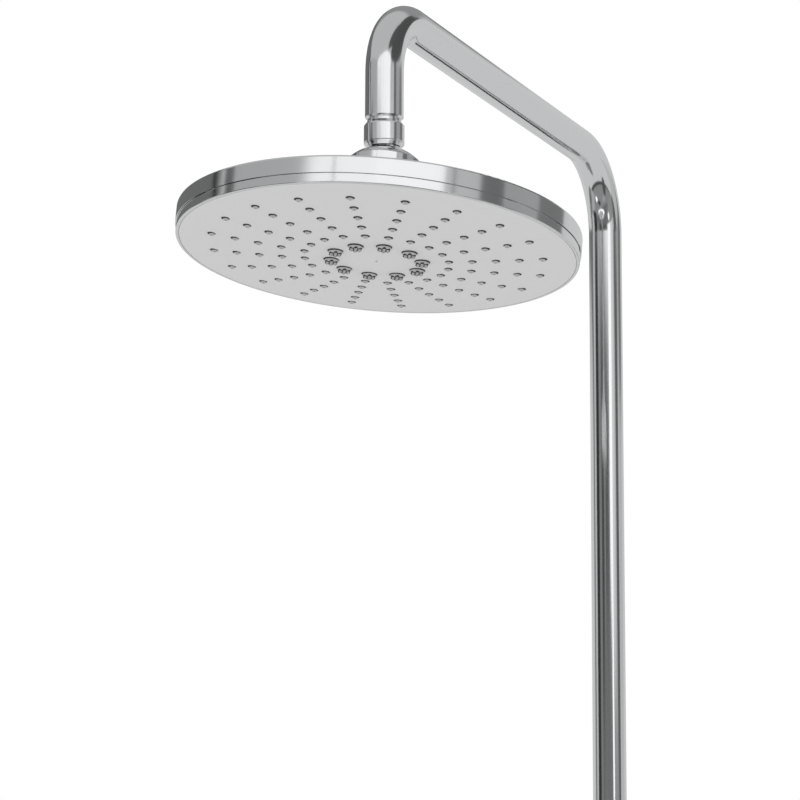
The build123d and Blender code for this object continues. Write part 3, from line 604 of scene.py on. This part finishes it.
def backdrop_light(tree, light, backdrop):
    """Shows the backdrop to the camera, to metal and to glass, and the light to all else."""
    path = tree.nodes.new("ShaderNodeLightPath")
    seen = tree.nodes.new("ShaderNodeMath")
    seen.operation = "ADD"
    seen.use_clamp = True
    also = tree.nodes.new("ShaderNodeMath")
    also.operation = "ADD"
    also.use_clamp = True
    tree.links.new(path.outputs["Is Camera Ray"], seen.inputs[0])
    tree.links.new(path.outputs["Is Glossy Ray"], seen.inputs[1])
    tree.links.new(seen.outputs[0], also.inputs[0])
    tree.links.new(path.outputs["Is Transmission Ray"], also.inputs[1])
    mix = tree.nodes.new("ShaderNodeMixShader")
    tree.links.new(also.outputs[0], mix.inputs["Fac"])
    tree.links.new(light, mix.inputs[1])
    tree.links.new(backdrop, mix.inputs[2])
    return mix.outputs[0]


def light_world(strength):
    world = bpy.data.worlds.new("soft studio")
    world.use_nodes = True
    tree = world.node_tree
    soft = tree.nodes["Background"]
    soft.inputs["Color"].default_value = (1, 1, 1, 1)
    soft.inputs["Strength"].default_value = strength
    white = tree.nodes.new("ShaderNodeBackground")
    white.inputs["Color"].default_value = (1, 1, 1, 1)
    white.inputs["Strength"].default_value = 1.0
    mixed = backdrop_light(tree, soft.outputs[0], white.outputs[0])
    tree.links.new(mixed, tree.nodes["World Output"].inputs["Surface"])
    bpy.context.scene.world = world


def floor_finish():
    material = bpy.data.materials.new("pale_floor")
    material.use_nodes = True
    surface = material.node_tree.nodes["Principled BSDF"]
    surface.inputs["Base Color"].default_value = (*FLOOR_COLOR, 1)
    surface.inputs["Roughness"].default_value = FLOOR_ROUGHNESS
    return material


# Soft-edged cards round the shower, seen only in its metal and gloss, each in front of the ones
# above it. Each has the azimuth and elevation of its middle (0 is the camera's side, positive to
# the right) and its width and height, all in degrees, its brightness, the softness of its edge,
# and whether it is round.
REFLECTORS = {
    "ceiling shade": (-150, 27, 92, 30, 0.15, 0.12, False),
    "back ceiling": (172, 48, 90, 40, 0.28, 0.4, True),
    "doorway": (86, 38, 84, 36, 0.075, 0.1, True),
    "doorway head": (64, 50, 70, 20, 0.08, 0.2, True),
    "left wall": (-68, 20, 54, 18, 0.4, 0.4, False),
    "left strip": (-106, 20, 4, 14, 0.02, 0.1, False),
    "left wedge": (-93, 20, 8, 9, 0.08, 0.3, False),
    "window haze": (-6, 25, 84, 26, 0.96, 0.45, True),
    "window": (5, 25, 60, 26, 1.0, 0.04, True),
    "window bar": (41.4, 20, 1.6, 16, 0.2, 0.3, False),
    "window frame": (-25.2, 22, 0.9, 16, 0.2, 0.3, False),
    "window edge": (42, 8, 18, 18, 0.66, 0.2, False),
    "near door": (65, 16, 16, 11, 0.15, 0.15, False),
    "door gap": (86, 15, 26, 9, 0.34, 0.15, False),
    "far door": (112, 14, 26, 9, 0.17, 0.05, False),
    "front wall": (-32, 1, 92, 23, 0.2, 0.02, False),
    "front leg": (-35, 2, 20, 20, 0.06, 0.15, False),
    "near leg": (-6, 2, 22, 19, 0.085, 0.1, False),
    "thin leg": (11, 3, 7, 17, 0.21, 0.1, False),
    "window foot": (24, 5, 22, 22, 1.1, 0.08, False),
    "back wall": (148, 9, 64, 40, 0.6, 0.1, False),
    "left back wall": (-150, 0, 60, 22, 0.62, 0.1, False),
    "right post": (72, 1, 23, 26, 0.11, 0.15, False),
    "low ground": (2, -16, 120, 34, 0.15, 0.06, True),
    "right ground": (48, -14, 56, 30, 0.27, 0.4, True),
    "dark arc": (56, -45, 44, 16, 0.07, 0.3, True),
    "left ground": (-82, -34, 24, 44, 0.4, 0.3, False),
    "left post": (-72, -4, 24, 34, 0.03, 0.15, False),
    "left stand": (-105, -20, 13, 62, 0.17, 0.2, False),
    "low panel": (-22, -23, 46, 14, 1.6, 0.2, True),
    "dark sill": (-27, -41, 18, 10, 0.03, 0.3, True),
    "left lamp": (-49, -47, 9, 10, 2.0, 0.2, True),
    "right lamp": (20, -41, 24, 11, 0.36, 0.4, True),
    "foot glow": (27, -10, 12, 12, 1.2, 0.2, True),
}


# Flat sheets on the floor below the riser's bend, each lying on the ones above it: the place of
# the middle, the width and depth in metres, the turn in degrees and the brightness.
GROUND_SHEETS = {
    "ground sheet": (0, 0, 24, 24, 0, 0.60),
    "dark mat": (1.07, -6.19, 24, 12, 9.8, 0.25),
    "mat edge": (0.07, -0.40, 24, 0.26, 9.8, 0.04),
    "skirting": (-0.52, 3.1, 0.4, 4.2, 8, 0.015),
    "wall corner": (-0.166, 0.953, 0.26, 1.03, 31, 0.015),
}


def soft_edge(tree, softness, rounded):
    """A mask that fades to nothing at a card's edge."""
    place = tree.nodes.new("ShaderNodeTexCoord")
    reach = tree.nodes.new("ShaderNodeVectorMath")
    fade = tree.nodes.new("ShaderNodeMapRange")
    fade.interpolation_type = "SMOOTHSTEP"
    fade.inputs["From Min"].default_value = 0.5
    fade.inputs["From Max"].default_value = 0.5 * (1 - softness)
    tree.links.new(place.outputs["Object"], reach.inputs[0])
    if rounded:
        reach.operation = "LENGTH"
        tree.links.new(reach.outputs["Value"], fade.inputs["Value"])
    else:
        reach.operation = "ABSOLUTE"
        split = tree.nodes.new("ShaderNodeSeparateXYZ")
        longest = tree.nodes.new("ShaderNodeMath")
        longest.operation = "MAXIMUM"
        tree.links.new(reach.outputs["Vector"], split.inputs[0])
        tree.links.new(split.outputs["X"], longest.inputs[0])
        tree.links.new(split.outputs["Y"], longest.inputs[1])
        tree.links.new(longest.outputs[0], fade.inputs["Value"])
    return fade.outputs["Result"]


def glow_finish(name, strength, softness=0.0, rounded=False):
    material = bpy.data.materials.new(name)
    material.use_nodes = True
    tree = material.node_tree
    glow = tree.nodes.new("ShaderNodeEmission")
    glow.inputs["Strength"].default_value = strength
    surface = tree.nodes["Material Output"].inputs["Surface"]
    if not softness:
        tree.links.new(glow.outputs[0], surface)
        return material
    clear = tree.nodes.new("ShaderNodeBsdfTransparent")
    mix = tree.nodes.new("ShaderNodeMixShader")
    tree.links.new(soft_edge(tree, softness, rounded), mix.inputs["Fac"])
    tree.links.new(clear.outputs[0], mix.inputs[1])
    tree.links.new(glow.outputs[0], mix.inputs[2])
    tree.links.new(mix.outputs[0], surface)
    return material


def only_in_metal(obj):
    """Keeps a stage piece out of everything but mirror-like reflections."""
    obj.visible_camera = False
    obj.visible_diffuse = False
    obj.visible_transmission = False
    obj.visible_shadow = False


def set_card(name, distance, card):
    """A flat card that faces the shower, no lower than the floor; gives its distance back."""
    studio = bpy.context.scene.shower_studio
    azimuth, elevation, width, height, strength, softness, rounded = card
    azimuth = studio.azimuth + radians(azimuth)
    elevation = radians(elevation)
    drop = tan(radians(height / 2)) * cos(elevation) - sin(elevation)
    distance = min(distance, CARD_DROP / max(drop, LEAST_DROP))
    aim = HEAD_AIM if drop < LOW_CARD else RISER_AIM
    outward = Vector(
        (sin(azimuth) * cos(elevation), -cos(azimuth) * cos(elevation), sin(elevation))
    )
    deselect()
    bpy.ops.mesh.primitive_plane_add(size=1, location=aim + outward * distance)
    obj = bpy.context.object
    obj.rotation_euler = (pi / 2 - elevation, 0, azimuth)
    obj.scale = (
        2 * distance * tan(radians(width / 2)),
        2 * distance * tan(radians(height / 2)),
        1,
    )
    obj.name = name
    obj.data.materials.append(glow_finish(name, strength, softness, rounded))
    only_in_metal(obj)
    return distance


def set_sheet(name, height, sheet):
    """A flat sheet on the floor, seen only in the metal."""
    x, y, width, depth, turn, strength = sheet
    deselect()
    bpy.ops.mesh.primitive_plane_add(size=1, location=(RISER_AIM.x + x, RISER_AIM.y + y, height))
    obj = bpy.context.object
    obj.rotation_euler = (0, 0, radians(turn))
    obj.scale = (width, depth, 1)
    obj.name = name
    obj.data.materials.append(glow_finish(name, strength))
    only_in_metal(obj)


def set_tent():
    """The even grey tent round the whole stage."""
    deselect()
    bpy.ops.mesh.primitive_uv_sphere_add(
        segments=TENT_SIDES, ring_count=TENT_RINGS, radius=TENT_RADIUS, location=HEAD_AIM
    )
    tent = bpy.context.object
    tent.name = "tent"
    tent.data.materials.append(glow_finish("tent", TENT_GREY))
    only_in_metal(tent)


class SHOWER_PT_panel(bpy.types.Panel):
    """Lists the shower's pieces and their sizes"""

    bl_idname = "SHOWER_PT_panel"
    bl_label = "Overhead Shower"
    bl_space_type = "VIEW_3D"
    bl_region_type = "UI"
    bl_category = "Shower"

    def draw(self, context):
        for group_name in GROUPS:
            group = getattr(context.scene, group_name)
            box = self.layout.box()
            for name in group.bl_rna.properties.keys():
                if name not in ("rna_type", "name"):
                    box.prop(group, name)
        for operator in OPERATORS:
            self.layout.operator(operator.bl_idname)


OPERATORS = (
    SHOWER_OT_finishes,
    SHOWER_OT_tube,
    SHOWER_OT_small_nozzles,
    SHOWER_OT_cluster_nozzles,
    SHOWER_OT_studio,
)
GROUPS = {
    "shower_tube": ShowerTube,
    "shower_face": ShowerFace,
    "shower_finish": ShowerFinish,
    "shower_studio": ShowerStudio,
}


def register():
    for cls in (*GROUPS.values(), *OPERATORS, SHOWER_PT_panel):
        bpy.utils.register_class(cls)
    for name, cls in GROUPS.items():
        setattr(bpy.types.Scene, name, bpy.props.PointerProperty(type=cls))


def unregister():
    for name in GROUPS:
        delattr(bpy.types.Scene, name)
    for cls in (SHOWER_PT_panel, *reversed(OPERATORS), *GROUPS.values()):
        bpy.utils.unregister_class(cls)


def main():
    register()
    bpy.ops.shower.finishes()
    bpy.ops.shower.tube()
    bpy.ops.shower.small_nozzles()
    bpy.ops.shower.cluster_nozzles()
    bpy.ops.shower.studio()


if __name__ == "__main__":
    main()
